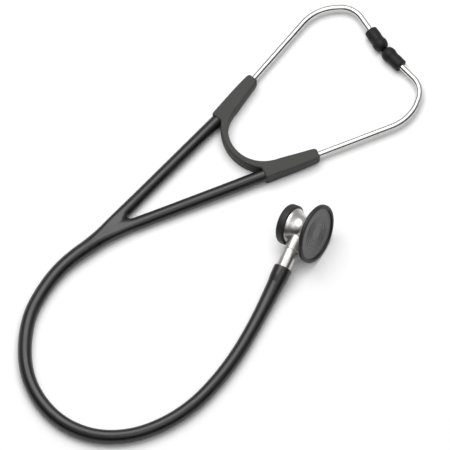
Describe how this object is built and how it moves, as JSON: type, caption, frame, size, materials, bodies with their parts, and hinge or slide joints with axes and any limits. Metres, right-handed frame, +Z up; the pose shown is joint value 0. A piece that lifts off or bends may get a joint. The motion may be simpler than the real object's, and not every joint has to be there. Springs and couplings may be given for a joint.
{
  "type": "stethoscope",
  "caption": "Double-headed acoustic stethoscope: sprung chromed ear tubes, V tubing in a loop, and a turning steel bell and diaphragm head.",
  "frame": {"origin": "on the surface that the stethoscope lies on, under the middle of the box round everything but the free tube", "axes": "+Y along the headset's symmetry axis, from the tubing's V towards the ear tips; +X towards the chestpiece's side; +Z up from the surface"},
  "size_m": [0.2106, 0.3921, 0.0438],
  "materials": {
    "ear_tip_rubber": "satin",
    "brass": "machined",
    "chrome_tube": "mirror",
    "yoke_rubber": "matte",
    "spring_steel": "satin",
    "tubing": "satin gloss",
    "polished_steel": "polished",
    "seal_rubber": "matte",
    "rim_rubber": "satin",
    "diaphragm_film": "semi-gloss",
    "rim_plastic": "satin gloss"
  },
  "bodies": {
    "tubing": {"tube_junction": "tubing", "main_tube": "tubing", "tube_collar": "tubing", "branch_tube_left": "tubing", "branch_tube_right": "tubing", "yoke_bridge": "yoke_rubber", "leaf_spring": "spring_steel", "stem": "polished_steel", "stem_o_ring": "seal_rubber", "stem_retaining_ring": "spring_steel"},
    "left_arm": {"yoke_sleeve_left": "yoke_rubber", "spring_socket_left": "spring_steel"},
    "right_arm": {"yoke_sleeve_right": "yoke_rubber", "spring_socket_right": "spring_steel"},
    "left_ear_tube": {"ear_tube_left": "chrome_tube", "ear_tip_left": "ear_tip_rubber", "ear_tip_insert_left": "brass"},
    "right_ear_tube": {"ear_tube_right": "chrome_tube", "ear_tip_right": "ear_tip_rubber", "ear_tip_insert_right": "brass"},
    "chestpiece": {"chestpiece_body": "polished_steel", "bell_ring": "rim_rubber", "diaphragm": "diaphragm_film", "diaphragm_ring": "rim_plastic", "detent_spring": "spring_steel", "detent_screw": "polished_steel"},
    "detent_ball": {"detent_ball": "polished_steel"}
  },
  "joints": [
    {"name": "left_arm_spread", "type": "hinge", "parent": "tubing", "child": "left_arm", "pos_m": [-0.0387, -0.0028, 0.00575], "axis": [0, 0, 1], "range_deg": [0, 30], "stiffness_Nm_per_rad": 0.5, "springref_deg": -9.74, "deforming": ["yoke_bridge", "leaf_spring", "branch_tube_left"]},
    {"name": "right_arm_spread", "type": "hinge", "parent": "tubing", "child": "right_arm", "pos_m": [-0.0121, -0.0028, 0.00575], "axis": [0, 0, -1], "range_deg": [0, 30], "stiffness_Nm_per_rad": 0.5, "springref_deg": -9.74, "deforming": ["yoke_bridge", "leaf_spring", "branch_tube_right"]},
    {"name": "left_ear_tube_swivel", "type": "hinge", "parent": "left_arm", "child": "left_ear_tube", "pos_m": [-0.0543, 0.0011, 0.00575], "axis": [-0.2487, 0.9686, 0], "range_deg": [-20, 20]},
    {"name": "right_ear_tube_swivel", "type": "hinge", "parent": "right_arm", "child": "right_ear_tube", "pos_m": [0.0035, 0.0011, 0.00575], "axis": [0.2487, 0.9686, 0], "range_deg": [-20, 20]},
    {"name": "chestpiece_turn", "type": "hinge", "parent": "tubing", "child": "chestpiece", "pos_m": [0.0603, -0.0085, 0.01835], "axis": [0.4433, -0.8655, -0.2334], "continuous": true},
    {"name": "detent_ball_lift", "type": "slide", "parent": "chestpiece", "child": "detent_ball", "axis": [0.8829, 0.3766, 0.2803], "range_m": [0, 0.0004], "stiffness_N_per_m": 500, "springref_m": -0.002, "deforming": ["detent_spring"]}
  ]
}
